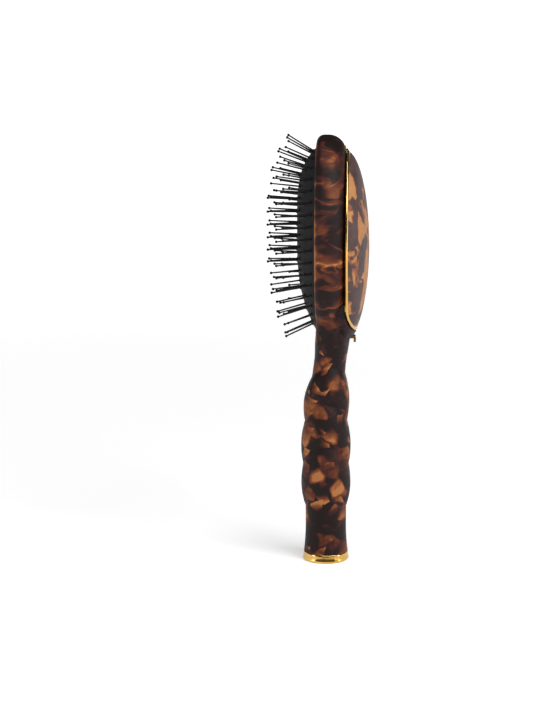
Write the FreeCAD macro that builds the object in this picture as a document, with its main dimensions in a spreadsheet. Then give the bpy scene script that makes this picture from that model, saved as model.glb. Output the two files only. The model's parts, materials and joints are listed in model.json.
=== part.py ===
import FreeCAD, Part
import math
import os

# Cushioned detangling brush with a hinged back lid, millimetres.
# X across the head, -Y the pin side, +Y the lid side, +Z up the handle.
# Origin: centre of the flat underside of the base cap, on the handle axis.

V = FreeCAD.Vector
doc = FreeCAD.newDocument("detangling_brush")

# ------------------------------------------------------------------ sheet
sheet = doc.addObject("Spreadsheet::Sheet", "dims")
CELLS = [
    # head moulding
    ("head_top", 225.0), ("head_half_width", 32.0), ("head_wide_z", 171.0),
    ("top_radius", 25.0), ("low_radius", 38.0), ("low_start_deg", 13.0),
    ("neck_half_width", 10.4), ("neck_flare_radius", 24.0), ("blank_foot_z", 117.0),
    ("front_y", -4.9), ("back_y", 10.2), ("head_depth", 15.1),
    ("front_round", 4.0), ("back_round", 9.0),
    # front recess and cushion
    ("pad_mid_z", 171.05), ("pad_half_x", 26.0), ("pad_half_z", 47.75),
    ("recess_floor_y", 1.2), ("lip_depth", 2.0), ("groove_out", 1.6), ("groove_high", 1.8),
    ("pad_crest", 10.1), ("pad_wall", 1.8), ("pad_gap", 0.15),
    # pins
    ("pin_length", 16.0), ("pin_root_radius", 0.45), ("pin_tip_radius", 0.36),
    ("pin_ball_radius", 0.7), ("pin_collar_radius", 0.82), ("pin_head_radius", 1.3),
    ("pin_hole_radius", 0.5),
    # lid, ring and parting line
    ("lid_mid_y", 10.0), ("lid_mid_z", 167.7),
    ("lid_half_x", 27.5), ("lid_rise", 12.3), ("lid_half_z", 49.2),
    ("lid_wall", 1.8), ("ring_proud", 0.6),
    ("part_y", 10.55), ("part_bend_z", 138.2), ("part_radius", 23.3),
    ("ring_high", 1.75), ("ring_gap", 0.25), ("ring_edge", 0.5),
    # back compartment
    ("box_mid_z", 172.5), ("box_half_x", 23.4), ("box_half_z", 40.0), ("box_floor_y", 3.4),
    # hinge
    ("hinge_y", 8.8), ("hinge_z", 218.4), ("knuckle_radius", 1.4), ("knuckle_half", 4.5),
    ("hinge_pin_radius", 0.5), ("hinge_hole_radius", 0.54), ("hinge_pin_half", 6.6),
    ("arm_z_low", 217.0), ("arm_z_high", 217.8),
    ("hinge_pocket_radius", 2.15), ("hinge_pocket_half", 4.85),
    # latch
    ("slide_half_x", 3.2), ("slide_y_low", 4.9), ("slide_y_high", 7.5),
    ("slide_z_low", 112.4), ("slide_z_high", 123.6), ("nose_z", 126.2),
    ("nose_y_low", 5.7), ("nose_y_high", 7.2), ("slide_clear", 0.1),
    ("tunnel_z_low", 109.6), ("pocket_z_low", 122.9),
    ("spring_z_low", 104.6), ("spring_bore_radius", 1.7), ("spring_coil_radius", 1.2),
    ("spring_wire_radius", 0.2), ("spring_mid_y", 6.2),
    ("tab_half_x", 2.4), ("tab_thick", 1.2), ("tab_top_z", 120.5), ("tab_back_y", 15.6),
    ("tab_leg", 3.1), ("tab_root_y", 6.4), ("slot_half_x", 2.7), ("slot_z_low", 116.8),
    ("slot_z_high", 120.85),
    ("catch_half_x", 2.8), ("catch_foot_low", 4.0), ("catch_foot_high", 5.4),
    ("catch_z_low", 124.6), ("catch_stem_z", 127.0), ("catch_z_high", 130.0),
    # handle
    ("tail_foot_z", 4.5), ("tail_foot_radius", 11.55), ("tail_waist_radius", 10.65),
    ("bore_radius", 7.8), ("bore_top_z", 83.5),
    ("cap_foot_radius", 12.2), ("cap_wall", 2.6), ("cap_edge", 0.7),
    ("spigot_radius", 7.72), ("spigot_wall", 1.5), ("spigot_high", 9.0),
]
for i, (name, value) in enumerate(CELLS):
    row = i + 1
    sheet.set("A%d" % row, name)
    sheet.set("B%d" % row, repr(value))
    sheet.setAlias("B%d" % row, name)
doc.recompute()


def dim(name):
    return float(sheet.get(name))


# ---------------------------------------------------------------- helpers
def plane(body, role):
    for item in body.Origin.OriginFeatures:
        if item.Role == role:
            return item
    raise RuntimeError("no plane " + role)


def new_body(name):
    return doc.addObject("PartDesign::Body", name)


def new_sketch(body, role, name, offset=None):
    sk = body.newObject("Sketcher::SketchObject", name)
    sk.AttachmentSupport = [(plane(body, role), "")]
    sk.MapMode = "FlatFace"
    if offset:
        sk.setExpression("AttachmentOffset.Base.z", offset)
    doc.recompute()
    return sk


def Sk():
    import Sketcher
    return Sketcher


def bind(sk, index, expression):
    sk.setExpression("Constraints[%d]" % index, expression)


def outline(sk, points, dims=()):
    """Closed straight-sided outline; dims = (corner, 'x'|'y', expression)."""
    S = Sk()
    n = len(points)
    for i in range(n):
        a, b = points[i], points[(i + 1) % n]
        sk.addGeometry(Part.LineSegment(V(a[0], a[1], 0), V(b[0], b[1], 0)), False)
    for i in range(n):
        sk.addConstraint(S.Constraint("Coincident", i, 2, (i + 1) % n, 1))
    for i in range(n):
        a, b = points[i], points[(i + 1) % n]
        if abs(a[1] - b[1]) < 1e-9:
            sk.addConstraint(S.Constraint("Horizontal", i))
        elif abs(a[0] - b[0]) < 1e-9:
            sk.addConstraint(S.Constraint("Vertical", i))
    for corner, kind, expression in dims:
        p = points[corner]
        if kind == "x":
            index = sk.addConstraint(S.Constraint("DistanceX", -1, 1, corner, 1, p[0]))
        else:
            index = sk.addConstraint(S.Constraint("DistanceY", -1, 1, corner, 1, p[1]))
        bind(sk, index, expression)


def pad(body, sk, name, length, midplane=False, reverse=False):
    p = body.newObject("PartDesign::Pad", name)
    p.Profile = sk
    p.setExpression("Length", length)
    if midplane:
        if hasattr(p, "SideType"):
            p.SideType = "Symmetric"
        else:
            p.Midplane = True
    p.Reversed = reverse
    doc.recompute()
    return p


def boolean(kind, name, base, tool):
    o = doc.addObject("Part::" + kind, name)
    o.Base = base
    o.Tool = tool
    o.Refine = False
    doc.recompute()
    return o


def fuse(name, items):
    o = doc.addObject("Part::MultiFuse", name)
    o.Shapes = items
    o.Refine = True
    doc.recompute()
    return o


def put(o, x=None, y=None, z=None):
    for axis, expression in (("x", x), ("y", y), ("z", z)):
        if expression is not None:
            o.setExpression("Placement.Base." + axis, expression)


def box(name, x, y, z, lx, ly, lz):
    o = doc.addObject("Part::Box", name)
    o.setExpression("Length", lx)
    o.setExpression("Width", ly)
    o.setExpression("Height", lz)
    put(o, x, y, z)
    doc.recompute()
    return o


def cylinder(name, radius, height, x=None, y=None, z=None, along="z"):
    o = doc.addObject("Part::Cylinder", name)
    o.setExpression("Radius", radius)
    o.setExpression("Height", height)
    if along == "x":
        o.Placement = FreeCAD.Placement(V(0, 0, 0), FreeCAD.Rotation(V(0, 1, 0), 90))
    put(o, x, y, z)
    doc.recompute()
    return o


def ellipsoid(name, rx, ry, rz):
    o = doc.addObject("Part::Ellipsoid", name)
    o.setExpression("Radius1", rz)
    o.setExpression("Radius2", rx)
    o.setExpression("Radius3", ry)
    o.Angle1 = -90
    o.Angle2 = 90
    o.Angle3 = 360
    put(o, None, "dims.lid_mid_y", "dims.lid_mid_z")
    doc.recompute()
    return o


def feature(name, shape):
    o = doc.addObject("Part::Feature", name)
    o.Shape = shape
    doc.recompute()
    return o


def ring_wire(points):
    curve = Part.BSplineCurve()
    curve.interpolate(Points=points, PeriodicFlag=True)
    return Part.Wire([curve.toShape()])


def loft(wires):
    return Part.makeLoft(wires, True, False)


# ------------------------------------------------------- head blank (body)
R1, R3, R4 = dim("top_radius"), dim("low_radius"), dim("neck_flare_radius")
HW, ZW, TOP = dim("head_half_width"), dim("head_wide_z"), dim("head_top")
z1 = TOP - R1
R2 = ((z1 - ZW) ** 2 + HW ** 2 - R1 ** 2) / (2.0 * (HW - R1))
c2 = (HW - R2, ZW)
k = math.hypot(c2[0], z1 - ZW)
t1 = (R1 * -c2[0] / k, z1 + R1 * (z1 - ZW) / k)
a3 = math.radians(dim("low_start_deg"))
t2 = (c2[0] + R2 * math.cos(a3), c2[1] - R2 * math.sin(a3))
c3 = (c2[0] + (R2 - R3) * math.cos(a3), c2[1] - (R2 - R3) * math.sin(a3))
NW = dim("neck_half_width")
c4x = NW + R4
c4 = (c4x, c3[1] - math.sqrt((R3 + R4) ** 2 - (c4x - c3[0]) ** 2))
t3 = (c3[0] + R3 * (c4[0] - c3[0]) / (R3 + R4), c3[1] + R3 * (c4[1] - c3[1]) / (R3 + R4))
t4 = (NW, c4[1])
foot = dim("blank_foot_z")


def arc(c, r, p, q):
    """Arc of centre c from p to q, the short way round."""
    a, b = math.atan2(p[1] - c[1], p[0] - c[0]), math.atan2(q[1] - c[1], q[0] - c[0])
    while b - a > math.pi:
        b -= 2 * math.pi
    while b - a < -math.pi:
        b += 2 * math.pi
    m = 0.5 * (a + b)
    mid = V(c[0] + r * math.cos(m), c[1] + r * math.sin(m), 0)
    return Part.Arc(V(p[0], p[1], 0), mid, V(q[0], q[1], 0))


def mir(p):
    return (-p[0], p[1])


blank = new_body("head_blank")
sk = new_sketch(blank, "XZ_Plane", "head_outline", "-dims.back_y")
S = Sk()
ARCS = [
    ((0, z1), R1, t1, mir(t1), "dims.top_radius"),
    (mir(c2), R2, mir(t1), mir(t2), None),
    (mir(c3), R3, mir(t2), mir(t3), "dims.low_radius"),
    (mir(c4), R4, mir(t3), mir(t4), "dims.neck_flare_radius"),
    None,
    None,
    None,
    (c4, R4, t4, t3, "dims.neck_flare_radius"),
    (c3, R3, t3, t2, "dims.low_radius"),
    (c2, R2, t2, t1, None),
]
LINES = {4: (mir(t4), (-NW, foot)), 5: ((-NW, foot), (NW, foot)), 6: ((NW, foot), t4)}
for i, entry in enumerate(ARCS):
    if entry is None:
        a, b = LINES[i]
        sk.addGeometry(Part.LineSegment(V(a[0], a[1], 0), V(b[0], b[1], 0)), False)
    else:
        sk.addGeometry(arc(*entry[:4]), False)
for i, entry in enumerate(ARCS):
    if entry is not None and entry[4]:
        bind(sk, sk.addConstraint(S.Constraint("Radius", i, entry[1])), entry[4])
index = sk.addConstraint(S.Constraint("DistanceX", -1, 1, 6, 1, NW))
bind(sk, index, "dims.neck_half_width")
index = sk.addConstraint(S.Constraint("DistanceY", -1, 1, 6, 1, foot))
bind(sk, index, "dims.blank_foot_z")
doc.recompute()
blank_pad = pad(blank, sk, "head_pad", "dims.head_depth")


def edges_at_y(shape, y):
    names = []
    for i, e in enumerate(shape.Edges):
        bb = e.BoundBox
        if abs(bb.YMin - y) < 1e-4 and abs(bb.YMax - y) < 1e-4 and bb.ZMax > foot + 0.5:
            names.append("Edge%d" % (i + 1))
    return names


for name, y, radius in (("back_rounding", dim("back_y"), "dims.back_round"),
                        ("front_rounding", dim("front_y"), "dims.front_round")):
    base = blank.Tip
    f = blank.newObject("PartDesign::Fillet", name)
    f.Base = (base, edges_at_y(base.Shape, y))
    f.setExpression("Radius", radius)
    blank.Tip = f
    doc.recompute()

# ------------------------------------------------ handle: neck, bubbles, tail
N = 40


def oval(z, y_low, y_high, hx, power):
    """Superellipse section of the neck at height z."""
    cy, hy = 0.5 * (y_low + y_high), 0.5 * (y_high - y_low)
    pts = []
    for j in range(N):
        t = 2 * math.pi * (j + 0.5) / N
        c, s = math.cos(t), math.sin(t)
        x = math.copysign(abs(s) ** (2.0 / power), s) * hx
        y = math.copysign(abs(c) ** (2.0 / power), c) * hy
        pts.append(V(x, cy + y, z))
    return ring_wire(pts)


neck = feature("neck_form", loft([
    oval(86.0, -6.9, 9.6, 8.0, 2.2),
    oval(94.0, -7.0, 9.8, 8.1, 2.2),
    oval(99.7, -7.15, 9.98, 8.3, 2.2),
    oval(103.0, -6.65, 10.2, 8.5, 2.25),
    oval(106.2, -6.25, 10.45, 8.9, 2.3),
    oval(109.4, -5.9, 10.95, 9.65, 2.35),
    oval(112.6, -5.8, 11.5, 10.65, 2.45),
    oval(116.0, -5.7, 12.0, 11.8, 2.6),
    oval(120.0, -5.5, 12.7, 12.9, 2.6),
    oval(125.0, -5.1, 13.1, 14.4, 2.5),
    oval(130.0, -4.6, 12.5, 16.4, 2.4),
    oval(136.0, -3.8, 10.8, 17.6, 2.4),
]))


def bubble(zl, al, zh, ah, r_max, um, r_low, in_low, r_high, in_high, lean, z_from, z_to, levels):
    """One swelling of the grip. Its two borders rise as arches on the flanks and lie deeper there."""
    wires = []
    count, soft = 56, 0.05
    for i in range(levels):
        z = z_from + (z_to - z_from) * i / (levels - 1.0)
        pts = []
        for j in range(count):
            t = 2 * math.pi * (j + 0.5) / count
            arch = (math.sqrt(math.sin(t) ** 2 + soft) - math.sqrt(soft)) / (math.sqrt(1 + soft) - math.sqrt(soft))
            lo, hi = zl + al * arch, zh + ah * arch
            rl, rh = r_low - in_low * arch, r_high - in_high * arch
            u = (z - lo) / (hi - lo)
            if u < um:
                r = r_max - (r_max - rl) * ((um - u) / um) ** 2
            else:
                r = r_max - (r_max - rh) * ((u - um) / (1 - um)) ** 2
            r = max(r, 2.5)
            pts.append(V(r * math.sin(t), lean(z) + r * math.cos(t), z))
        wires.append(ring_wire(pts))
    return loft(wires)


def lean_top(z):
    if z <= 75.0:
        return 0.0
    return 1.55 * ((z - 75.0) / 23.0) ** 2 if z < 98.0 else 1.55 + 0.13 * (z - 98.0)


def upright(z):
    return 0.0


grip_a = feature("grip_upper", bubble(74.8, 10.5, 98.1, 6.4, 11.95, 0.40, 11.05, 0.7, 8.75, 0.0,
                                      lean_top, 69.0, 105.5, 15))
grip_b = feature("grip_middle", bubble(51.9, 10.5, 74.8, 10.5, 13.0, 0.43, 11.95, 0.9, 11.05, 0.7,
                                       upright, 46.0, 90.0, 17))
grip_c = feature("grip_lower", bubble(29.0, 8.4, 51.9, 10.5, 12.95, 0.55, 10.7, 0.0, 11.95, 0.9,
                                      upright, 24.0, 67.0, 17))


def circle_wire(z, r):
    return Part.Wire([Part.Circle(V(0, 0, z), V(0, 0, 1), r).toShape()])


tf, tr, tw = dim("tail_foot_z"), dim("tail_foot_radius"), dim("tail_waist_radius")
tail = feature("tail_form", loft([
    circle_wire(tf, tr), circle_wire(tf + 4.0, tr - 0.42), circle_wire(tf + 9.0, tw + 0.14),
    circle_wire(tf + 15.0, tw), circle_wire(tf + 24.0, tw + 0.03), circle_wire(tf + 36.0, tw - 0.2)]))

# --------------------------------------------- lid forms and the parting line
lid_out = ellipsoid("lid_skin_form", "dims.lid_half_x", "dims.lid_rise", "dims.lid_half_z")
ring_out = ellipsoid("ring_skin_form", "dims.lid_half_x + dims.ring_proud",
                     "dims.lid_rise + dims.ring_proud", "dims.lid_half_z + dims.ring_proud")
lid_in = ellipsoid("lid_hollow_form", "dims.lid_half_x - dims.lid_wall",
                   "dims.lid_rise - dims.lid_wall", "dims.lid_half_z - dims.lid_wall")


def parting(name, shift_text, shift):
    """Everything behind the parting line, moved back by shift."""
    body = new_body(name)
    s = new_sketch(body, "YZ_Plane", name + "_line")
    y0, zb, r = dim("part_y") + shift, dim("part_bend_z"), dim("part_radius") - shift
    yc = y0 + r
    far, high = 60.0, 260.0
    P = [(y0, high), (y0, zb), (yc, zb - r), (far, zb - r), (far, high)]
    m = math.radians(225.0)
    s.addGeometry(Part.LineSegment(V(*P[0], 0), V(*P[1], 0)), False)
    s.addGeometry(Part.Arc(V(*P[1], 0), V(yc + r * math.cos(m), zb + r * math.sin(m), 0),
                           V(*P[2], 0)), False)
    s.addGeometry(Part.LineSegment(V(*P[2], 0), V(*P[3], 0)), False)
    s.addGeometry(Part.LineSegment(V(*P[3], 0), V(*P[4], 0)), False)
    s.addGeometry(Part.LineSegment(V(*P[4], 0), V(*P[0], 0)), False)
    S = Sk()
    i = s.addConstraint(S.Constraint("Radius", 1, r))
    bind(s, i, "dims.part_radius - (%s)" % shift_text)
    i = s.addConstraint(S.Constraint("DistanceX", -1, 1, 0, 1, y0))
    bind(s, i, "dims.part_y + (%s)" % shift_text)
    doc.recompute()
    pad(body, s, name + "_pad", "4 * dims.head_half_width", midplane=True)
    return body


behind_body = parting("behind_body", "-dims.ring_gap", -dim("ring_gap"))
behind_ring = parting("behind_ring", "0", 0.0)
behind_lid = parting("behind_lid", "dims.ring_high", dim("ring_high"))

# ------------------------------------------------------------- brush body
ramp = boolean("Common", "lid_tail_form", ring_out,
               box("lid_tail_box", "-20", "0", "110", "40", "30", "30"))
outer = tail
for i, piece in enumerate((grip_c, grip_b, grip_a, neck, blank, ramp)):
    shared = outer.Shape.common(piece.Shape).Volume
    wanted = outer.Shape.Volume + piece.Shape.Volume - shared
    outer = boolean("Fuse", "body_outer_%d" % (i + 1), outer, piece)
    if len(outer.Shape.Solids) != 1 or abs(outer.Shape.Volume - wanted) > 0.002 * wanted:
        raise RuntimeError("join lost material at %s: %.1f for %.1f in %d solids"
                           % (piece.Name, outer.Shape.Volume, wanted, len(outer.Shape.Solids)))
trimmed = boolean("Cut", "body_trimmed", outer, behind_body)


def ellipse_prism(name, half_x, half_z, mid_z, y_from, depth):
    """Oval block, long axis up, running back from y_from by depth."""
    e = doc.addObject("Part::Ellipse", name + "_outline")
    e.setExpression("MajorRadius", half_z)
    e.setExpression("MinorRadius", half_x)
    rot = FreeCAD.Rotation(V(0, 0, 1), V(1, 0, 0), V(0, 1, 0), "ZXY")
    e.Placement = FreeCAD.Placement(V(0, 0, 0), rot)
    put(e, None, y_from, mid_z)
    x = doc.addObject("Part::Extrusion", name)
    x.Base = e
    x.DirMode = "Custom"
    x.Dir = V(0, 1, 0)
    x.setExpression("LengthFwd", depth)
    x.Solid = True
    doc.recompute()
    return x


recess = ellipse_prism("front_recess", "dims.pad_half_x", "dims.pad_half_z", "dims.pad_mid_z",
                       "dims.front_y - 8", "dims.recess_floor_y - dims.front_y + 8")
groove = ellipse_prism("flange_groove", "dims.pad_half_x + dims.groove_out",
                       "dims.pad_half_z + dims.groove_out", "dims.pad_mid_z",
                       "dims.front_y + dims.lip_depth", "dims.groove_high")
cupboard = ellipse_prism("back_compartment", "dims.box_half_x", "dims.box_half_z", "dims.box_mid_z",
                         "dims.box_floor_y", "20")
bore = cylinder("handle_bore", "dims.bore_radius", "dims.bore_top_z + 2", z="-2")
tunnel = box("latch_tunnel", "-dims.slide_half_x - dims.slide_clear",
             "dims.slide_y_low - dims.slide_clear", "dims.tunnel_z_low",
             "2 * dims.slide_half_x + 2 * dims.slide_clear",
             "dims.slide_y_high - dims.slide_y_low + 2 * dims.slide_clear",
             "dims.pocket_z_low - dims.tunnel_z_low + 2")
catch_pocket = box("catch_pocket", "-dims.slide_half_x - 0.6", "dims.box_floor_y", "dims.pocket_z_low",
                   "2 * dims.slide_half_x + 1.2", "20", "16")
spring_bore = cylinder("spring_bore", "dims.spring_bore_radius",
                       "dims.tunnel_z_low - dims.spring_z_low + 1", y="dims.spring_mid_y",
                       z="dims.spring_z_low")
tab_slot = box("tab_slot", "-dims.slot_half_x", "dims.slide_y_high - 0.5", "dims.slot_z_low",
               "2 * dims.slot_half_x", "20", "dims.slot_z_high - dims.slot_z_low")
hinge_pocket = cylinder("hinge_pocket", "dims.hinge_pocket_radius", "2 * dims.hinge_pocket_half",
                        x="-dims.hinge_pocket_half", y="dims.hinge_y", z="dims.hinge_z", along="x")
hinge_hole = cylinder("hinge_hole", "dims.hinge_hole_radius", "2 * dims.hinge_pin_half + 0.2",
                      x="-dims.hinge_pin_half - 0.1", y="dims.hinge_y", z="dims.hinge_z", along="x")
below = box("below_body", "-30", "-30", "-10", "60", "60", "10 + dims.tail_foot_z")
cutters = fuse("body_hollows", [recess, groove, cupboard, catch_pocket, tunnel, spring_bore, tab_slot,
                                hinge_pocket, hinge_hole])
hollowed = boolean("Cut", "body_hollowed", trimmed, cutters)
body_final = boolean("Cut", "brush_body", boolean("Cut", "body_bored", hollowed, bore), below)

# --------------------------------------------------------------- base cap
cap = new_body("base_cap")
sk = new_sketch(cap, "XZ_Plane", "cap_profile")
fr, ed, fz = dim("cap_foot_radius"), dim("cap_edge"), dim("tail_foot_z")
sr, sw, sh, cw = dim("spigot_radius"), dim("spigot_wall"), dim("spigot_high"), dim("cap_wall")
outline(sk, [(0, 0), (fr - ed, 0), (fr, ed), (tr, fz), (sr, fz), (sr, fz + sh), (sr - sw, fz + sh),
             (sr - sw, cw), (0, cw)],
        [(1, "x", "dims.cap_foot_radius - dims.cap_edge"), (2, "x", "dims.cap_foot_radius"),
         (2, "y", "dims.cap_edge"), (3, "x", "dims.tail_foot_radius"), (3, "y", "dims.tail_foot_z"),
         (4, "x", "dims.spigot_radius"), (6, "x", "dims.spigot_radius - dims.spigot_wall"),
         (6, "y", "dims.tail_foot_z + dims.spigot_high"), (7, "y", "dims.cap_wall")])
rev = cap.newObject("PartDesign::Revolution", "cap_turn")
rev.Profile = sk
rev.ReferenceAxis = (sk, ["V_Axis"])
rev.Angle = 360
doc.recompute()


# ---------------------------------------------------------------- cushion
PX, PZ, PC, PM = dim("pad_half_x"), dim("pad_half_z"), dim("pad_crest"), dim("pad_mid_z")
FY, GAP, PW = dim("front_y"), dim("pad_gap"), dim("pad_wall")


def pad_wire(y, hx, up, down):
    pts = []
    for j in range(56):
        t = 2 * math.pi * (j + 0.5) / 56
        s = math.sin(t)
        pts.append(V(hx * math.cos(t), y, PM + (up if s > 0 else down) * s))
    return ring_wire(pts)


NX, NU, ND = 2.0, 4.9, 2.65


def dome(hx, hz, y_foot, high):
    wires = []
    for q in (0.0, 0.1, 0.22, 0.36, 0.5, 0.63, 0.75, 0.85, 0.92, 0.965, 0.988):
        f = 1.0 - q
        wires.append(pad_wire(y_foot - q * high, hx * f ** (1 / NX), hz * f ** (1 / NU), hz * f ** (1 / ND)))
    return loft(wires)


def oval_block(hx, hz, y_from, y_to):
    face = Part.Face(pad_wire(y_from, hx, hz, hz))
    return face.extrude(V(0, y_to - y_from, 0))


flange_back = FY + dim("lip_depth") + dim("groove_high") - 0.1
flange_front = FY + dim("lip_depth") + 0.1
pad_shape = dome(PX - GAP, PZ - GAP, FY, PC).fuse([
    oval_block(PX - GAP, PZ - GAP, FY, flange_back),
    oval_block(PX + dim("groove_out") - 0.1, PZ + dim("groove_out") - 0.1, flange_front, flange_back)])
pad_shape = pad_shape.cut([dome(PX - GAP - PW, PZ - GAP - PW, FY, PC - PW),
                           oval_block(PX - GAP - PW, PZ - GAP - PW, FY - 0.001, flange_back + 0.5)])


# ------------------------------------------------------------------- pins
RINGS = ((0.175, 36), (0.52, 30), (0.80, 22), (0.97, 12))


def pin_places():
    """Root point on the cushion skin and outward direction of every pin.

    The pins stand in closed ovals, each at one height on the dome."""
    places = []
    for q, count in RINGS:
        f = 1.0 - q
        hx, up, down = ((PX - GAP) * f ** (1 / NX), (PZ - GAP) * f ** (1 / NU), (PZ - GAP) * f ** (1 / ND))
        y = FY - q * PC
        fine = 4000
        run, table = 0.0, []
        last = None
        for j in range(fine + 1):
            t = 0.5 * math.pi + 2 * math.pi * j / fine
            sn = math.sin(t)
            here = (hx * math.cos(t), PM + (up if sn > 0 else down) * sn)
            if last is not None:
                run += math.hypot(here[0] - last[0], here[1] - last[1])
            table.append((run, here))
            last = here
        j = 0
        for n in range(count):
            want = run * (n + 0.5) / count
            while table[j][0] < want:
                j += 1
            x, z = table[j][1]
            rise = z - 168.0
            tip_up = 31.5 * (rise / 48.8) ** 3.2 if rise > 0 else -26.0 * (-rise / 42.0) ** 1.6
            tip_out = math.copysign(25.0 * (abs(x) / 22.0) ** 0.5, x)
            v = V(math.tan(math.radians(tip_out)), -1.0, math.tan(math.radians(tip_up)))
            v.normalize()
            places.append((V(x, y, z), v))
    return places


def turned(profile):
    """Solid of revolution about +Z from (radius, height) corners."""
    pts = [V(r, 0, h) for r, h in profile]
    wire = Part.makePolygon(pts + [pts[0]])
    return Part.Face(wire).revolve(V(0, 0, 0), V(0, 0, 1), 360)


PL, PR, PT, PB = dim("pin_length"), dim("pin_root_radius"), dim("pin_tip_radius"), dim("pin_ball_radius")
CR, HR, LIFT = dim("pin_collar_radius"), dim("pin_head_radius"), 0.05
shaft = turned([(0, -3.5), (HR, -3.5), (HR, -2.9), (PR, -2.9), (PR, LIFT), (CR, LIFT), (CR, 0.45),
                (PR, 0.7), (PT, PL - PB), (0, PL - PB)])
one_pin = shaft.fuse(Part.makeSphere(PB, V(0, 0, PL - PB))).removeSplitter()
HOLE = dim("pin_hole_radius")
one_hole = turned([(0, -5), (HOLE, -5), (HOLE, -0.42), (CR + 0.08, -0.42), (CR + 0.08, 2.0), (0, 2.0)])
pins, holes = [], []
for p, v in pin_places():
    place = FreeCAD.Placement(p, FreeCAD.Rotation(V(0, 0, 1), v))
    for source, target in ((one_pin, pins), (one_hole, holes)):
        c = source.copy()
        c.Placement = place
        target.append(c)
bristle_pins = feature("bristle_pins", Part.makeCompound(pins))
cushion = feature("cushion_pad", pad_shape.cut(holes))

# ------------------------------------------------------------- lid and ring
lid_shell = boolean("Common", "lid_shell", boolean("Cut", "lid_dome", lid_out, lid_in), behind_lid)
band = boolean("Cut", "ring_band", boolean("Common", "ring_zone",
               boolean("Cut", "ring_solid", ring_out, lid_in), behind_ring), behind_lid)
knuckle = cylinder("knuckle", "dims.knuckle_radius", "2 * dims.knuckle_half", x="-dims.knuckle_half",
                   y="dims.hinge_y", z="dims.hinge_z", along="x")
ring_hole = cylinder("knuckle_hole", "dims.hinge_hole_radius", "2 * dims.knuckle_half + 2",
                     x="-dims.knuckle_half - 1", y="dims.hinge_y", z="dims.hinge_z", along="x")
arm = box("hinge_arm", "-dims.knuckle_half", "dims.hinge_y", "dims.arm_z_low", "2 * dims.knuckle_half",
          "dims.part_y + 0.5 * dims.ring_high - dims.hinge_y", "dims.arm_z_high - dims.arm_z_low")
ring = boolean("Cut", "lid_trim_ring", fuse("ring_and_knuckle", [band, knuckle, arm]), ring_hole)

hinge_pin = cylinder("hinge_pin", "dims.hinge_pin_radius", "2 * dims.hinge_pin_half",
                     x="-dims.hinge_pin_half", y="dims.hinge_y", z="dims.hinge_z", along="x")

# ------------------------------------------------------------------- catch
catch_body = new_body("catch_blank")
sk = new_sketch(catch_body, "YZ_Plane", "catch_profile")
fl, fh, zl, zs, zh = (dim("catch_foot_low"), dim("catch_foot_high"), dim("catch_z_low"),
                      dim("catch_stem_z"), dim("catch_z_high"))
outline(sk, [(fl, zl), (fh, zl), (fh, zs), (24.0, zs), (24.0, zh), (fl, zh)],
        [(0, "x", "dims.catch_foot_low"), (0, "y", "dims.catch_z_low"), (1, "x", "dims.catch_foot_high"),
         (2, "y", "dims.catch_stem_z"), (4, "y", "dims.catch_z_high"), (4, "x", "24")])
pad(catch_body, sk, "catch_pad", "2 * dims.catch_half_x", midplane=True)
lid_room = fuse("lid_room", [lid_in, box("below_lid", "-10", "0", "110", "20", "dims.lid_mid_y + 3", "40")])
catch = boolean("Common", "lid_catch", catch_body, lid_room)

# ------------------------------------------------------------------- latch
slider = new_body("latch_slider")
sk = new_sketch(slider, "YZ_Plane", "slider_profile")
y0, y1, n0, n1 = dim("slide_y_low"), dim("slide_y_high"), dim("nose_y_low"), dim("nose_y_high")
s0, s1, nz = dim("slide_z_low"), dim("slide_z_high"), dim("nose_z")
outline(sk, [(y0, s0), (y1, s0), (y1, s1), (n1, s1), (n1, nz), (n0, nz), (n0, s1), (y0, s1)],
        [(0, "x", "dims.slide_y_low"), (0, "y", "dims.slide_z_low"), (1, "x", "dims.slide_y_high"),
         (2, "y", "dims.slide_z_high"), (3, "x", "dims.nose_y_high"), (4, "y", "dims.nose_z"),
         (5, "x", "dims.nose_y_low")])
pad(slider, sk, "slider_pad", "2 * dims.slide_half_x", midplane=True)
sk = new_sketch(slider, "YZ_Plane", "mortise_profile")
tt, tz, ty, tl, ry = dim("tab_thick"), dim("tab_top_z"), dim("tab_back_y"), dim("tab_leg"), dim("tab_root_y")
outline(sk, [(ry, tz - tt), (12.0, tz - tt), (12.0, tz), (ry, tz)],
        [(0, "x", "dims.tab_root_y"), (0, "y", "dims.tab_top_z - dims.tab_thick"), (2, "x", "12"),
         (2, "y", "dims.tab_top_z")])
pk = slider.newObject("PartDesign::Pocket", "mortise")
pk.Profile = sk
pk.setExpression("Length", "2 * dims.tab_half_x")
if hasattr(pk, "SideType"):
    pk.SideType = "Symmetric"
else:
    pk.Midplane = True
doc.recompute()

tab = new_body("latch_tab")
sk = new_sketch(tab, "YZ_Plane", "tab_profile")
outline(sk, [(ry, tz - tt), (ty - tt, tz - tt), (ty - tt, tz - tl), (ty, tz - tl), (ty, tz), (ry, tz)],
        [(0, "x", "dims.tab_root_y"), (0, "y", "dims.tab_top_z - dims.tab_thick"),
         (1, "x", "dims.tab_back_y - dims.tab_thick"), (2, "y", "dims.tab_top_z - dims.tab_leg"),
         (3, "x", "dims.tab_back_y"), (4, "y", "dims.tab_top_z")])
pad(tab, sk, "tab_pad", "2 * dims.tab_half_x", midplane=True)
bend = []
base = tab.Tip
for i, e in enumerate(base.Shape.Edges):
    c = e.CenterOfMass
    if abs(c.x) < 1e-6 and abs(c.y - ty) < 1e-6 and abs(c.z - tz) < 1e-6:
        bend.append("Edge%d" % (i + 1))
f = tab.newObject("PartDesign::Fillet", "tab_bend")
f.Base = (base, bend)
f.setExpression("Radius", "0.8 * dims.tab_thick")
tab.Tip = f
doc.recompute()

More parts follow.
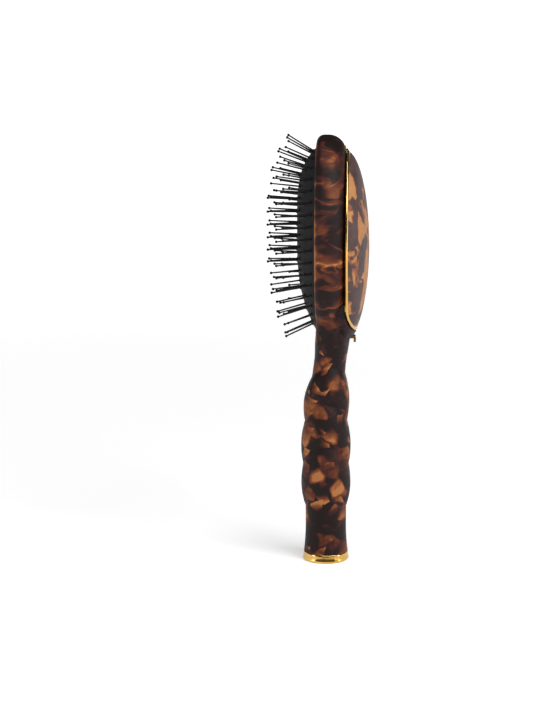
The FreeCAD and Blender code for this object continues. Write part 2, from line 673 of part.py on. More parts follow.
# ------------------------------------------------------------------ spring
sc, swr = dim("spring_coil_radius"), dim("spring_wire_radius")
z_a, z_b = dim("spring_z_low") + swr + 0.02, dim("slide_z_low") - swr - 0.02
helix = Part.makeHelix((z_b - z_a) / 6.0, z_b - z_a, sc)
start = helix.Vertexes[0].Point
section = Part.Wire([Part.Circle(start, V(0, 1, 0), swr).toShape()])
coil = Part.Wire(helix.Edges).makePipeShell([section], True, True)
spring = feature("latch_spring", coil)
spring.Placement = FreeCAD.Placement(V(0, dim("spring_mid_y"), z_a), FreeCAD.Rotation())

# ------------------------------------------------------------------ output
NODES = [
    (body_final, "brush_body"), (cap, "base_cap"), (cushion, "cushion_pad"),
    (bristle_pins, "bristle_pins"), (lid_shell, "lid_shell"), (ring, "lid_trim_ring"),
    (catch, "lid_catch"), (hinge_pin, "hinge_pin"), (slider, "latch_slider"),
    (tab, "latch_tab"), (spring, "latch_spring"),
]
doc.recompute()
for o in doc.Objects:
    if "Invalid" in o.State or "Error" in o.State:
        raise RuntimeError("object in error: " + o.Name)
os.makedirs("parts", exist_ok=True)
for o, label in NODES:
    if o.Label != label:
        o.Label = label
    s = o.Shape
    if s.isNull() or not s.isValid() or not s.Solids:
        raise RuntimeError("bad shape: " + label)
    print(label, "solids", len(s.Solids), "volume %.2f" % s.Volume, s.BoundBox)
    s.exportStep("parts/" + label + ".step")
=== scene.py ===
import json
import math

import bpy
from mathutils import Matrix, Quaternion, Vector


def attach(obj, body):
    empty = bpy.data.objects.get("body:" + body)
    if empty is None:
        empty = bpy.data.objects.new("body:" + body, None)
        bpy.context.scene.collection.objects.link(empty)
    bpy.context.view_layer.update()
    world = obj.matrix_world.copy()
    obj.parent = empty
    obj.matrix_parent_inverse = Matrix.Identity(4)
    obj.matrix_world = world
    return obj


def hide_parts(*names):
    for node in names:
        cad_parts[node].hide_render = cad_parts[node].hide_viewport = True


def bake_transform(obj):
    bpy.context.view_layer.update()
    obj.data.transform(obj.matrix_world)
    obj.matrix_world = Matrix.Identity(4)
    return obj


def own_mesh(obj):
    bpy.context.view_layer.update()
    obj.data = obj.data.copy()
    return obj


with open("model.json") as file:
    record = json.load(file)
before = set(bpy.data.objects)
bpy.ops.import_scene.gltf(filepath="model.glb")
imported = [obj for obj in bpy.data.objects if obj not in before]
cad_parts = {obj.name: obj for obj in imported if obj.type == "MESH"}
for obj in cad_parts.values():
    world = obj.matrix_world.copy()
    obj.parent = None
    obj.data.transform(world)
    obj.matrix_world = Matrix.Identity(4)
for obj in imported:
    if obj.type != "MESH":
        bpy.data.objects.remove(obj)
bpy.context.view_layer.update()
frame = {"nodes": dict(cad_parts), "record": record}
nodes = frame["nodes"]
scene = bpy.context.scene
MM = 0.001


# ------------------------------------------------------------------ helpers
def lin(code):
    """Hex display colour to linear RGBA."""
    out = []
    for i in (0, 2, 4):
        c = int(code[i:i + 2], 16) / 255.0
        out.append(c / 12.92 if c <= 0.04045 else ((c + 0.055) / 1.055) ** 2.4)
    return (out[0], out[1], out[2], 1.0)


def new_material(name):
    m = bpy.data.materials.new(name)
    m.use_nodes = True
    t = m.node_tree
    t.nodes.clear()
    out = t.nodes.new("ShaderNodeOutputMaterial")
    sh = t.nodes.new("ShaderNodeBsdfPrincipled")
    t.links.new(sh.outputs["BSDF"], out.inputs["Surface"])
    return m, t, sh


def add(t, kind, **props):
    n = t.nodes.new(kind)
    for k, v in props.items():
        setattr(n, k, v)
    return n


def ramp(t, fac, stops, smooth="LINEAR"):
    n = t.nodes.new("ShaderNodeValToRGB")
    n.color_ramp.interpolation = smooth
    e = n.color_ramp.elements
    while len(e) > 1:
        e.remove(e[-1])
    e[0].position, e[0].color = stops[0]
    for p, c in stops[1:]:
        x = e.new(p)
        x.color = c
    t.links.new(fac, n.inputs["Fac"])
    return n.outputs["Color"]


def grey(v):
    return (v, v, v, 1.0)


def math_node(t, op, a, b=None, clamp=False):
    n = add(t, "ShaderNodeMath", operation=op, use_clamp=clamp)
    for i, v in enumerate((a, b)):
        if v is None:
            continue
        if isinstance(v, (int, float)):
            n.inputs[i].default_value = v
        else:
            t.links.new(v, n.inputs[i])
    return n.outputs[0]


def vec_node(t, op, a, b=None, scale=None):
    n = add(t, "ShaderNodeVectorMath", operation=op)
    t.links.new(a, n.inputs[0])
    if b is not None:
        if isinstance(b, tuple):
            n.inputs[1].default_value = b
        else:
            t.links.new(b, n.inputs[1])
    if scale is not None:
        n.inputs["Scale"].default_value = scale
    return n.outputs[0]


def mix_colour(t, fac, a, b, kind="MIX"):
    n = add(t, "ShaderNodeMix", data_type="RGBA", blend_type=kind)
    for key, v in ((0, fac), (6, a), (7, b)):
        if isinstance(v, (int, float, tuple)):
            n.inputs[key].default_value = v
        else:
            t.links.new(v, n.inputs[key])
    return n.outputs[2]


def noise(t, vector, scale, detail=2.0, rough=0.5, distortion=0.0, colour=False):
    n = add(t, "ShaderNodeTexNoise")
    n.inputs["Scale"].default_value = scale
    n.inputs["Detail"].default_value = detail
    n.inputs["Roughness"].default_value = rough
    n.inputs["Distortion"].default_value = distortion
    t.links.new(vector, n.inputs["Vector"])
    return n.outputs["Color" if colour else "Fac"]


def cells(t, vector, scale, smooth=0.3, random=1.0):
    n = add(t, "ShaderNodeTexVoronoi", feature="SMOOTH_F1")
    n.inputs["Scale"].default_value = scale
    n.inputs["Smoothness"].default_value = smooth
    n.inputs["Randomness"].default_value = random
    t.links.new(vector, n.inputs["Vector"])
    s = add(t, "ShaderNodeSeparateColor")
    t.links.new(n.outputs["Color"], s.inputs["Color"])
    return s.outputs[0]


def object_point(t, shift=(0, 0, 0), stretch=(1, 1, 1)):
    c = add(t, "ShaderNodeTexCoord")
    m = add(t, "ShaderNodeMapping")
    m.inputs["Location"].default_value = shift
    m.inputs["Scale"].default_value = stretch
    t.links.new(c.outputs["Object"], m.inputs["Vector"])
    return m.outputs["Vector"]


def bump(t, sh, height, strength, distance):
    b = add(t, "ShaderNodeBump")
    b.inputs["Strength"].default_value = strength
    b.inputs["Distance"].default_value = distance
    t.links.new(height, b.inputs["Height"])
    t.links.new(b.outputs["Normal"], sh.inputs["Normal"])


# ---------------------------------------------------------------- materials
def map_range(t, value, lo, hi, smooth=True):
    n = add(t, "ShaderNodeMapRange", interpolation_type="SMOOTHSTEP" if smooth else "LINEAR")
    t.links.new(value, n.inputs["Value"])
    for key, v in (("From Min", lo), ("From Max", hi)):
        if isinstance(v, (int, float)):
            n.inputs[key].default_value = v
        else:
            t.links.new(v, n.inputs[key])
    return n.outputs["Result"]


def flakes(t, p, shift, turn, stretch, scale, keep, fade, crisp, kind="POINT"):
    """Amount of amber in a layer of flakes: a share of the cells shows, each fading from one side to the other."""
    mp = add(t, "ShaderNodeMapping", vector_type=kind)
    mp.inputs["Location"].default_value = shift
    mp.inputs["Rotation"].default_value = tuple(math.radians(a) for a in turn)
    mp.inputs["Scale"].default_value = stretch
    t.links.new(p, mp.inputs["Vector"])
    q = mp.outputs["Vector"]
    n = add(t, "ShaderNodeTexVoronoi", feature="SMOOTH_F1" if crisp else "F1")
    n.inputs["Scale"].default_value = scale
    if crisp:
        n.inputs["Smoothness"].default_value = crisp
    t.links.new(q, n.inputs["Vector"])
    way = vec_node(t, "SUBTRACT", n.outputs["Color"], (0.5, 0.5, 0.5))
    side = add(t, "ShaderNodeVectorMath", operation="DOT_PRODUCT")
    t.links.new(vec_node(t, "SCALE", vec_node(t, "SUBTRACT", q, n.outputs["Position"]), scale=scale), side.inputs[0])
    t.links.new(way, side.inputs[1])
    pick = add(t, "ShaderNodeSeparateColor")
    t.links.new(n.outputs["Color"], pick.inputs["Color"])
    lit = math_node(t, "MULTIPLY", math_node(t, "SUBTRACT", pick.outputs[1], 1.0 - keep), 3.0)
    return math_node(t, "ADD", lit, math_node(t, "MULTIPLY", side.outputs["Value"], fade))


def shell_finish(t, sh, p, rough, spec):
    r = ramp(t, noise(t, p, 520.0, 3.0, 0.6), [(0.3, grey(rough - 0.05)), (0.7, grey(rough + 0.06))])
    t.links.new(r, sh.inputs["Roughness"])
    sh.inputs["Specular IOR Level"].default_value = spec
    bump(t, sh, noise(t, p, 2600.0, 2.0, 0.5), 0.10, 0.00006)


def tortoise_body(name):
    """Cellulose-like shell: overlapping amber flakes in dark brown, each crisp on one side and feathered on the other."""
    m, t, sh = new_material(name)
    p0 = object_point(t)
    wobble = vec_node(t, "SUBTRACT", noise(t, p0, 170.0, 2.0, 0.5, 0.0, True), (0.5, 0.5, 0.5))
    p = vec_node(t, "ADD", p0, vec_node(t, "SCALE", wobble, scale=0.0024))
    a = flakes(t, p, (0.11, 0.02, 0.05), (32, 10, 10), (1.0, 1.45, 0.9), 165.0, 0.20, 2.4, 0.20, "TEXTURE")
    b = flakes(t, p, (0.47, 0.31, 0.22), (-38, -10, 25), (1.0, 1.6, 0.9), 190.0, 0.18, 2.6, 0.22, "TEXTURE")
    c = flakes(t, p, (0.83, 0.64, 0.41), (55, 10, -35), (0.8, 1.0, 1.0), 125.0, 0.54, 2.2, 0.5)
    v = math_node(t, "MAXIMUM", math_node(t, "MULTIPLY", a, 0.86), math_node(t, "MULTIPLY", b, 0.74))
    v = math_node(t, "MAXIMUM", v, math_node(t, "MULTIPLY", c, 0.52))
    cloud = noise(t, vec_node(t, "ADD", p0, (0.29, 0.77, 0.13)), 60.0, 3.0, 0.55)
    v = math_node(t, "ADD", v, math_node(t, "MULTIPLY", math_node(t, "SUBTRACT", cloud, 0.40), 1.25))
    brush = add(t, "ShaderNodeMapping", vector_type="TEXTURE")
    brush.inputs["Rotation"].default_value = (math.radians(26), 0.0, math.radians(8))
    brush.inputs["Scale"].default_value = (2.2, 3.0, 1.0)
    t.links.new(p0, brush.inputs["Vector"])
    stroke = noise(t, brush.outputs["Vector"], 260.0, 3.0, 0.55, 0.3)
    v = math_node(t, "ADD", v, math_node(t, "MULTIPLY", math_node(t, "SUBTRACT", stroke, 0.5), 0.85))
    streak = noise(t, object_point(t, (0.3, 0.1, 0.6), (1.0, 1.0, 0.35)), 700.0, 3.0, 0.6)
    v = math_node(t, "ADD", v, math_node(t, "MULTIPLY", math_node(t, "SUBTRACT", streak, 0.5), 0.30))
    # the head is darker than the grip, with soft streaks that run across
    q0 = object_point(t, (0.4, 0.2, 0.9), (0.55, 0.55, 1.0))
    sway = vec_node(t, "SUBTRACT", noise(t, q0, 70.0, 2.0, 0.5, 0.0, True), (0.5, 0.5, 0.5))
    q = vec_node(t, "ADD", q0, vec_node(t, "SCALE", sway, scale=0.02))
    d = flakes(t, q, (0.21, 0.57, 0.33), (24, 20, 0), (0.75, 0.75, 1.5), 130.0, 0.36, 3.4, 0.45)
    e = noise(t, q, 98.0, 3.0, 0.55, 0.6)
    w = math_node(t, "ADD", math_node(t, "MULTIPLY", d, 0.20), math_node(t, "MULTIPLY", math_node(t, "SUBTRACT", e, 0.5), 1.9))
    # thin bright veins along the edges of the clouds
    g = noise(t, vec_node(t, "ADD", q, (0.13, 0.41, 0.67)), 58.0, 3.0, 0.5, 0.4)
    vein = map_range(t, math_node(t, "ABSOLUTE", math_node(t, "SUBTRACT", g, 0.5)), 0.042, 0.0)
    h = noise(t, vec_node(t, "ADD", q, (0.51, 0.07, 0.29)), 85.0, 3.0, 0.5, 0.3)
    vein = math_node(t, "MULTIPLY", vein, map_range(t, h, 0.46, 0.62))
    w = math_node(t, "ADD", w, math_node(t, "MULTIPLY", vein, 0.46))
    # a warmer patch near the crown
    crest = add(t, "ShaderNodeVectorMath", operation="LENGTH")
    t.links.new(vec_node(t, "MULTIPLY", vec_node(t, "SUBTRACT", p, (0.0, 0.0012, 0.2150)), (0.0, 130.0, 150.0)), crest.inputs[0])
    w = math_node(t, "ADD", w, math_node(t, "MULTIPLY", map_range(t, crest.outputs["Value"], 1.2, 0.3), math_node(t, "ADD", e, 0.05)))
    sep = add(t, "ShaderNodeSeparateXYZ")
    t.links.new(p0, sep.inputs[0])
    part = map_range(t, sep.outputs[2], 0.112, 0.134)
    v = math_node(t, "SUBTRACT", v, math_node(t, "MULTIPLY", map_range(t, sep.outputs[2], 0.094, 0.108), 0.16))
    v = math_node(t, "MAXIMUM", v, 0.0)
    # painted light: amber clouds strengthened along the front rim, partly pattern and partly a painted glow of light
    # shining through the thin edge
    rim = map_range(t, sep.outputs[1], -0.0034, -0.0049)
    w = math_node(t, "ADD", w, math_node(t, "MULTIPLY", rim, math_node(t, "MULTIPLY", e, 1.15)))
    w = math_node(t, "MAXIMUM", math_node(t, "ADD", w, 0.20), 0.0)
    blend = add(t, "ShaderNodeMix", data_type="FLOAT")
    t.links.new(part, blend.inputs[0])
    t.links.new(v, blend.inputs[2])
    t.links.new(w, blend.inputs[3])
    colour = ramp(t, blend.outputs[0], [
        (0.0, lin("170b0a")), (0.12, lin("23100e")), (0.28, lin("371812")), (0.46, lin("502516")),
        (0.66, lin("66371b")), (0.88, lin("824d29")), (1.0, lin("9a6236"))])
    t.links.new(colour, sh.inputs["Base Color"])
    shell_finish(t, sh, p0, 0.52, 0.15)
    return m


def tortoise_lid(name):
    """Same shell, with larger crisp islands; its dark base is set lighter and greyer, partly its own tone and partly
    painted sheen.
    """
    m, t, sh = new_material(name)
    p0 = object_point(t, (0.2, 0.07, 0.31), (1, 1, 0.72))
    wobble = vec_node(t, "SUBTRACT", noise(t, p0, 90.0, 2.0, 0.5, 0.0, True), (0.5, 0.5, 0.5))
    p = vec_node(t, "ADD", p0, vec_node(t, "SCALE", wobble, scale=0.012))
    a = cells(t, p, 95.0, 0.10)
    b = noise(t, vec_node(t, "ADD", p, (0.71, 0.23, 0.19)), 115.0, 3.0, 0.5, 0.4)
    c = cells(t, vec_node(t, "ADD", p, (0.37, 0.11, 0.53)), 210.0, 0.14)
    v = math_node(t, "ADD", math_node(t, "MULTIPLY", a, 0.40), math_node(t, "MULTIPLY", b, 0.60))
    v = math_node(t, "ADD", v, math_node(t, "MULTIPLY", c, 0.14))
    v = map_range(t, v, 0.645, 0.688, False)
    tone = noise(t, p0, 160.0, 3.0, 0.6)
    amber = ramp(t, tone, [(0.3, lin("895931")), (0.7, lin("a27043"))])
    # painted sheen: the lid's dark tone is lighter and greyer than the body's, partly its own colour and partly the
    # grey sheen the lid shows under the lights
    dark = ramp(t, tone, [(0.3, lin("362726")), (0.7, lin("463433"))])
    edge = ramp(t, v, [(0.0, grey(0.0)), (0.35, grey(1.0)), (0.7, grey(1.0)), (1.0, grey(0.0))])
    colour = mix_colour(t, v, dark, amber)
    colour = mix_colour(t, math_node(t, "MULTIPLY", edge, 0.55), colour, lin("7e3a18"))
    t.links.new(colour, sh.inputs["Base Color"])
    shell_finish(t, sh, p0, 0.54, 0.30)
    return m


def gold(name, dark="c0964a", light="d2ac63"):
    m, t, sh = new_material(name)
    p = object_point(t)
    n = noise(t, p, 55.0, 3.0, 0.5)
    t.links.new(ramp(t, n, [(0.3, lin(dark)), (0.7, lin(light))]), sh.inputs["Base Color"])
    t.links.new(ramp(t, noise(t, p, 900.0, 4.0, 0.6), [(0.3, grey(0.06)), (0.75, grey(0.13))]),
                sh.inputs["Roughness"])
    sh.inputs["Metallic"].default_value = 1.0
    bump(t, sh, noise(t, p, 400.0, 3.0, 0.5), 0.05, 0.00005)
    return m


def rubber(name):
    m, t, sh = new_material(name)
    p = object_point(t)
    n = noise(t, p, 140.0, 4.0, 0.6)
    t.links.new(ramp(t, n, [(0.25, lin("111113")), (0.75, lin("19191c"))]), sh.inputs["Base Color"])
    t.links.new(ramp(t, noise(t, p, 1800.0, 2.0, 0.5), [(0.3, grey(0.62)), (0.7, grey(0.78))]),
                sh.inputs["Roughness"])
    sh.inputs["Specular IOR Level"].default_value = 0.2
    bump(t, sh, noise(t, p, 4200.0, 2.0, 0.5), 0.16, 0.00005)
    return m


def plastic(name, dark, light, low, high, spec):
    m, t, sh = new_material(name)
    p = object_point(t)
    t.links.new(ramp(t, noise(t, p, 320.0, 3.0, 0.5), [(0.3, lin(dark)), (0.7, lin(light))]),
                sh.inputs["Base Color"])
    t.links.new(ramp(t, noise(t, p, 1400.0, 2.0, 0.5), [(0.3, grey(low)), (0.7, grey(high))]),
                sh.inputs["Roughness"])
    sh.inputs["Specular IOR Level"].default_value = spec
    bump(t, sh, noise(t, p, 3000.0, 2.0, 0.5), 0.08, 0.00004)
    return m


def steel(name):
    m, t, sh = new_material(name)
    p = object_point(t, stretch=(1, 1, 0.15))
    n = noise(t, p, 2400.0, 3.0, 0.6)
    t.links.new(ramp(t, n, [(0.3, lin("9a9a9c")), (0.7, lin("b9b9bc"))]), sh.inputs["Base Color"])
    t.links.new(ramp(t, n, [(0.3, grey(0.24)), (0.7, grey(0.36))]), sh.inputs["Roughness"])
    sh.inputs["Metallic"].default_value = 1.0
    bump(t, sh, n, 0.08, 0.00004)
    return m


MAT = {
    "shell": tortoise_body("shell_tortoise"),
    "lid": tortoise_lid("lid_tortoise"),
    "gold_trim": gold("gold_plate"),
    "cushion": rubber("cushion_rubber"),
    "pins": plastic("pin_nylon", "060607", "0c0c0d", 0.50, 0.62, 0.16),
    "black_plastic": plastic("black_moulding", "101012", "1a1a1c", 0.40, 0.52, 0.35),
    "steel": steel("steel_wire"),
}
for row in frame["record"]["subparts"]:
    o = nodes[row["node"]]
    o.data.materials.clear()
    o.data.materials.append(MAT[row["material_slot"]])
# painted shade: the latch tab takes a darkened copy of the gold plate, standing in for the dark surroundings its face
# reflects
tab = nodes["latch_tab"]
tab.data.materials.clear()
GOLD_PAINTED_SHADE = gold("gold_plate_painted_shade", "4c3514", "664a20")
tab.data.materials.append(GOLD_PAINTED_SHADE)


# ------------------------------------------------------------------ pieces
def mesh_object(name, points, faces, slot, smooth=True):
    me = bpy.data.meshes.new(name)
    me.from_pydata([tuple(c * MM for c in q) for q in points], [], faces)
    me.validate()
    if smooth:
        for f in me.polygons:
            f.use_smooth = True
    o = bpy.data.objects.new(name, me)
    scene.collection.objects.link(o)
    me.materials.append(MAT[slot])
    return o


def bisect(f, lo, hi, steps=48):
    """Root of a function that rises from negative at lo to positive at hi."""
    for _ in range(steps):
        mid = 0.5 * (lo + hi)
        if f(mid) > 0:
            hi = mid
        else:
            lo = mid
    return 0.5 * (lo + hi)


# cushion: crowned rubber shell with a held flange, puckered round each pin
PX, PZ, PC, PM, FY = 25.85, 47.6, 10.1, 171.05, -4.9
NX, NU, ND = 2.0, 4.9, 2.65
RINGS = ((0.175, 36), (0.52, 30), (0.80, 22), (0.97, 12))


def pin_roots():
    out = []
    for q, count in RINGS:
        f = 1.0 - q
        hx, up, down = PX * f ** (1 / NX), PZ * f ** (1 / NU), PZ * f ** (1 / ND)
        run, table, last = 0.0, [], None
        for j in range(4001):
            t = 0.5 * math.pi + 2 * math.pi * j / 4000
            sn = math.sin(t)
            here = (hx * math.cos(t), PM + (up if sn > 0 else down) * sn)
            if last is not None:
                run += math.hypot(here[0] - last[0], here[1] - last[1])
            table.append((run, here))
            last = here
        j = 0
        for n in range(count):
            want = run * (n + 0.5) / count
            while table[j][0] < want:
                j += 1
            out.append(table[j][1])
    return out


def crown(x, z, a, b):
    """Share of the full height at a point inside the oval rim."""
    n = NU if z > 0 else ND
    if abs(x) < 1e-9 and abs(z) < 1e-9:
        return 1.0

    def left(f):
        return 1.0 - (x / (a * f ** (1 / NX))) ** 2 - (z / (b * f ** (1 / n))) ** 2
    return 1.0 - bisect(left, 1e-12, 1.0)


def build_cushion():
    roots = pin_roots()
    around, steps = 300, 90
    pts, faces, rows = [], [], []

    def row(a, b, make_y):
        first = len(pts)
        for j in range(around):
            t = 2 * math.pi * j / around
            x, z = a * math.cos(t), b * math.sin(t)
            pts.append((x, make_y(x, z), PM + z))
        rows.append(first)

    near = {}
    for rx, rz in roots:
        near.setdefault((int(rx // 4), int(rz // 4)), []).append((rx, rz))

    def pucker(x, z):
        v = 0.0
        ci, cj = int(x // 4), int((PM + z) // 4)
        for i in (ci - 1, ci, ci + 1):
            for j in (cj - 1, cj, cj + 1):
                for rx, rz in near.get((i, j), ()):
                    d2 = (x - rx) ** 2 + (PM + z - rz) ** 2
                    if d2 < 9.0:
                        v += 0.30 * math.exp(-d2 / 1.7)
        return v

    def outer(x, z):
        e = math.hypot(x / PX, z / PZ)
        return FY - PC * crown(x, z, PX, PZ) - pucker(x, z) * min(1.0, (1.0 - e) * 12.0)

    centre_out = len(pts)
    pts.append((0.0, FY - PC, PM))
    for i in range(1, steps + 1):
        k = math.sin(0.5 * math.pi * i / steps) ** 1.05
        row(PX * k, PZ * k, outer if i < steps else (lambda x, z: FY))
    for d, y in ((0.0, FY + 0.5), (0.0, FY + 2.1), (1.45, FY + 2.15), (1.5, FY + 2.3), (1.5, FY + 3.5), (1.4, FY + 3.7),
                 (-1.7, FY + 3.7), (-1.8, FY + 3.6), (-1.8, FY + 0.2)):
        row(PX + d, PZ + d, lambda x, z, y=y: y)
    ia, ib, ih = PX - 1.8, PZ - 1.8, PC - 1.9
    for i in range(24, 0, -1):
        k = math.sin(0.5 * math.pi * i / 25.0)
        row(ia * k, ib * k, lambda x, z: FY - ih * crown(x, z, ia, ib))
    centre_in = len(pts)
    pts.append((0.0, FY - ih, PM))
    for j in range(around):
        n = (j + 1) % around
        faces.append((centre_out, rows[0] + n, rows[0] + j))
        faces.append((centre_in, rows[-1] + j, rows[-1] + n))
        for r0, r1 in zip(rows, rows[1:]):
            faces.append((r0 + j, r0 + n, r1 + n, r1 + j))
    return mesh_object("rubber_cushion", pts, faces, "cushion")


cushion = build_cushion()
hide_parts("cushion_pad")
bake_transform(cushion)

# ring: rounded bead that follows the lid's parting line, with its hinge knuckle and arm
LY, LZ = 10.0, 167.7
LRX, LRY, LRZ = 27.5, 12.3, 49.2
PART_Y, BEND_Z, BEND_R, RING_H, RING_L = 10.55, 138.2, 23.3, 1.75, 0.32


def parting(z, w):
    if z >= BEND_Z:
        return PART_Y + w
    r = BEND_R - w
    d = min(BEND_Z - z, r * 0.999999)
    return PART_Y + BEND_R - math.sqrt(r * r - d * d)


def ring_point(phi, w, e):
    """Point on the ring at angle phi round the lid, w back from the parting line, e proud of the lid skin."""
    rx, ry, rz = LRX + e, LRY + e, LRZ + e
    c = math.cos(phi)

    def gap(z):
        k = 1.0 - ((parting(z, w) - LY) / ry) ** 2
        return z - (LZ + rz * math.sqrt(max(k, 0.0)) * c)
    z = bisect(gap, LZ - rz, LZ + rz)
    y = parting(z, w)
    k = math.sqrt(max(1.0 - ((y - LY) / ry) ** 2 - ((z - LZ) / rz) ** 2, 0.0))
    x = math.copysign(rx * k, math.sin(phi))
    return (x, y, z)


def build_ring():
    prof = []
    for i in range(13):
        t = math.pi * i / 12.0
        prof.append((0.5 - 0.5 * math.cos(t), -0.35 + 0.95 * max(math.sin(t), 0.0) ** 0.7))
    prof += [(1.0, -1.7), (-1.0, -1.7), (-1.0, -0.75), (0.0, -0.75)]
    around, pts, faces = 420, [], []
    m = len(prof)
    for j in range(around):
        phi = 2 * math.pi * (j + 0.5) / around
        # full width at the hinge, a fine gap on the shell side elsewhere
        u = min(max((0.93 - math.cos(phi)) / 0.06, 0.0), 1.0)
        first = 0.03 + RING_L * u * u * (3.0 - 2.0 * u)
        for w, e in prof:
            pts.append(ring_point(phi, 0.0 if w < 0 else first + (RING_H - first) * w, e))
    for j in range(around):
        n = (j + 1) % around
        for i in range(m):
            k = (i + 1) % m
            faces.append((j * m + i, j * m + k, n * m + k, n * m + i))
    bead = len(faces)

    # knuckle with a bore, along X
    def tube(x0, x1, y, z, r_in, r_out, edge):
        base, prof2, seg = len(pts), [], 40
        prof2 = [(x0, r_in), (x0, r_out - edge), (x0 + edge, r_out), (x1 - edge, r_out), (x1, r_out - edge), (x1, r_in)]
        k = len(prof2)
        for j in range(seg):
            t = 2 * math.pi * j / seg
            for x, r in prof2:
                pts.append((x, y + r * math.cos(t), z + r * math.sin(t)))
        for j in range(seg):
            n = (j + 1) % seg
            for i in range(k):
                q = (i + 1) % k
                faces.append((base + j * k + i, base + n * k + i, base + n * k + q, base + j * k + q))

    tube(-4.5, 4.5, 8.8, 218.4, 0.54, 1.4, 0.2)
    base = len(pts)
    x, c = 4.5, 0.15
    sec = [(8.9, 217.0), (11.3, 217.0), (11.3, 217.8), (9.0, 217.8)]
    for sx in (-x, x):
        for y, z in sec:
            pts.append((sx, y, z))
    faces += [(base + 3, base + 2, base + 1, base), (base + 4, base + 5, base + 6, base + 7)]
    for i in range(4):
        k = (i + 1) % 4
        faces.append((base + i, base + k, base + 4 + k, base + 4 + i))
    o = mesh_object("trim_ring", pts, faces, "gold_trim")
    # painted shade: the hinge knuckle and arm take the darkened copy of the gold plate
    o.data.materials.append(GOLD_PAINTED_SHADE)
    for f in o.data.polygons:
        f.material_index = 1 if f.index >= bead else 0
    return o


ring = build_ring()
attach(ring, "lid")
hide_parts("lid_trim_ring")


# foot cap: turned shell with softened edges
def build_cap():
    prof = [(0.0, 0.25), (9.6, 0.25), (10.2, 0.0), (11.15, 0.0)]
    for i in range(1, 9):
        t = 0.5 * math.pi * i / 8.0
        prof.append((11.15 + 1.05 * math.sin(t), 1.05 - 1.05 * math.cos(t)))
    for i in range(1, 8):
        u = i / 8.0
        prof.append((12.2 - 0.52 * u ** 0.8, 1.05 + 3.1 * u))
    prof += [(11.66, 4.2), (11.6, 4.35), (11.5, 4.46), (11.35, 4.5), (7.72, 4.5), (7.72, 13.2), (7.5, 13.5), (6.4, 13.5), (6.22, 13.3),
             (6.22, 2.6), (0.0, 2.6)]
    seg, pts, faces = 144, [], []
    m = len(prof)
    for j in range(seg):
        t = 2 * math.pi * j / seg
        for r, z in prof[1:-1]:
            pts.append((r * math.cos(t), r * math.sin(t), z))
    k = m - 2
    low, top = len(pts), len(pts) + 1
    pts += [(0.0, 0.0, prof[0][1]), (0.0, 0.0, prof[-1][1])]
    for j in range(seg):
        n = (j + 1) % seg
        faces.append((low, n * k, j * k))
        faces.append((top, j * k + k - 1, n * k + k - 1))
        for i in range(k - 1):
            faces.append((j * k + i, n * k + i, n * k + i + 1, j * k + i + 1))
    return mesh_object("foot_cap", pts, faces, "gold_trim")


cap = build_cap()
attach(cap, "handle")
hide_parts("base_cap")


# return spring: round wire coil for the latch
def build_coil():
    low, high, turns, coil, wire, y0 = 104.82, 112.18, 6.0, 1.2, 0.2, 6.2
    steps, seg, pts, faces = 216, 12, [], []
    rise = (high - low) / (2 * math.pi * turns)
    for i in range(steps + 1):
        t = 2 * math.pi * turns * i / steps
        out = Vector((math.cos(t), math.sin(t), 0.0))
        along = Vector((-coil * math.sin(t), coil * math.cos(t), rise)).normalized()
        up = along.cross(out) * -1.0
        mid = out * coil + Vector((0.0, y0, low + rise * t))
        for j in range(seg):
            a = 2 * math.pi * j / seg
            pts.append(tuple(mid + out * (wire * math.cos(a)) + up * (wire * math.sin(a))))
    for i in range(steps):
        for j in range(seg):
            n = (j + 1) % seg
            faces.append((i * seg + j, (i + 1) * seg + j, (i + 1) * seg + n, i * seg + n))
    faces.append(tuple(range(seg)))
    faces.append(tuple(steps * seg + j for j in reversed(range(seg))))
    return mesh_object("return_spring", pts, faces, "steel")


coil = build_coil()
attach(coil, "handle")
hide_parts("latch_spring")
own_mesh(coil)


# ------------------------------------------------------------------- stage
def plane(name, size, z):
    me = bpy.data.meshes.new(name)
    s = size / 2.0
    me.from_pydata([(-s, -s, z), (s, -s, z), (s, s, z), (-s, s, z)], [], [(0, 1, 2, 3)])
    o = bpy.data.objects.new(name, me)
    scene.collection.objects.link(o)
    return o


floor = plane("floor", 24.0, 0.0)
fm, ft, fs = new_material("floor_pale")
fn = noise(ft, object_point(ft), 0.6, 2.0)
ft.links.new(ramp(ft, fn, [(0.2, grey(0.88)), (0.8, grey(0.90))]), fs.inputs["Base Color"])
fs.inputs["Roughness"].default_value = 0.9
fs.inputs["Specular IOR Level"].default_value = 0.1
fs.inputs["Emission Color"].default_value = (1, 1, 1, 1)
away = add(ft, "ShaderNodeVectorMath", operation="LENGTH")
ft.links.new(object_point(ft), away.inputs[0])
far = map_range(ft, away.outputs["Value"], 0.15, 1.5)
glow = math_node(ft, "ADD", math_node(ft, "MULTIPLY", far, 0.64), 0.34)
ft.links.new(glow, fs.inputs["Emission Strength"])
floor.data.materials.append(fm)


# low pale backdrop, open on one side, so that no floor edge shows behind the object in level views
def backdrop(name, radius, height, seg=120):
    pts, faces = [], []
    for j in range(seg + 1):
        t = math.radians(48.0 + 264.0 * j / seg)
        pts += [(radius * math.cos(t), radius * math.sin(t), 0.0), (radius * math.cos(t), radius * math.sin(t), height)]
    for j in range(seg):
        faces.append((2 * j, 2 * j + 1, 2 * j + 3, 2 * j + 2))
    me = bpy.data.meshes.new(name)
    me.from_pydata(pts, [], faces)
    o = bpy.data.objects.new(name, me)
    scene.collection.objects.link(o)
    return o


wall = backdrop("backdrop", 8.0, 0.45)
wall.data.materials.append(fm)

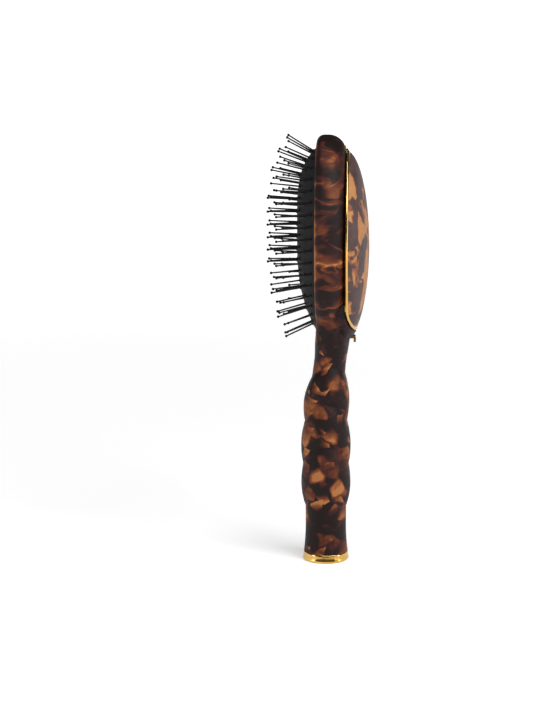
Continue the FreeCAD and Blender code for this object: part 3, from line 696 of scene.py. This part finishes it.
world = bpy.data.worlds.new("studio")
scene.world = world
world.use_nodes = True
wt = world.node_tree
wt.nodes.clear()
wo = wt.nodes.new("ShaderNodeOutputWorld")
wb = wt.nodes.new("ShaderNodeBackground")
wb.inputs["Color"].default_value = (1, 1, 1, 1)
wb.inputs["Strength"].default_value = 0.10
wt.links.new(wb.outputs["Background"], wo.inputs["Surface"])


def area(name, place, target, width, height, power):
    d = bpy.data.lights.new(name, "AREA")
    d.shape = "RECTANGLE"
    d.size, d.size_y = width, height
    d.energy = power
    o = bpy.data.objects.new(name, d)
    scene.collection.objects.link(o)
    o.visible_camera = False
    o.location = place
    o.rotation_euler = (Vector(target) - Vector(place)).to_track_quat("-Z", "Y").to_euler()
    return o


area("key_soft", (0.75, 0.85, 1.05), (0, 0, 0.08), 0.8, 0.8, 14.0)
area("top_soft", (0.30, -0.05, 1.40), (0, 0, 0.05), 0.7, 0.7, 5.5)
area("front_soft", (1.30, 0.15, 0.90), (0, 0, 0.10), 1.1, 0.45, 6.5)
area("side_strip", (0.35, 1.10, 0.40), (0, 0, 0.12), 0.16, 0.78, 3.0)
area("fill_left", (0.55, -1.10, 0.40), (0, 0, 0.12), 0.36, 0.78, 2.6)

# ------------------------------------------------------------------ camera
DIST, HIGH, PITCH, FOCAL = 1.30, 0.385, math.radians(11.96), 2550.0
PHI = math.radians(2.5)
cam_data = bpy.data.cameras.new("camera")
cam_data.sensor_fit = "VERTICAL"
cam_data.sensor_height = 36.0
cam_data.sensor_width = 36.0 * 533.0 / 711.0
cam_data.lens = FOCAL / 711.0 * 36.0
cam_data.clip_start, cam_data.clip_end = 0.05, 60.0
cam = bpy.data.objects.new("camera", cam_data)
scene.collection.objects.link(cam)
spot = Vector((DIST * math.cos(PHI), DIST * math.sin(PHI), HIGH))
turn = math.asin(0.0310 / DIST)
head = math.atan2(-spot.y, -spot.x) + turn
ahead = Vector((math.cos(head) * math.cos(PITCH), math.sin(head) * math.cos(PITCH), -math.sin(PITCH)))
cam.location = spot
cam.rotation_euler = (ahead.to_track_quat("-Z", "Y") @ Quaternion((0, 0, 1), math.radians(-0.22))).to_euler()
scene.camera = cam

scene.view_settings.view_transform = "Standard"
scene.view_settings.look = "None"
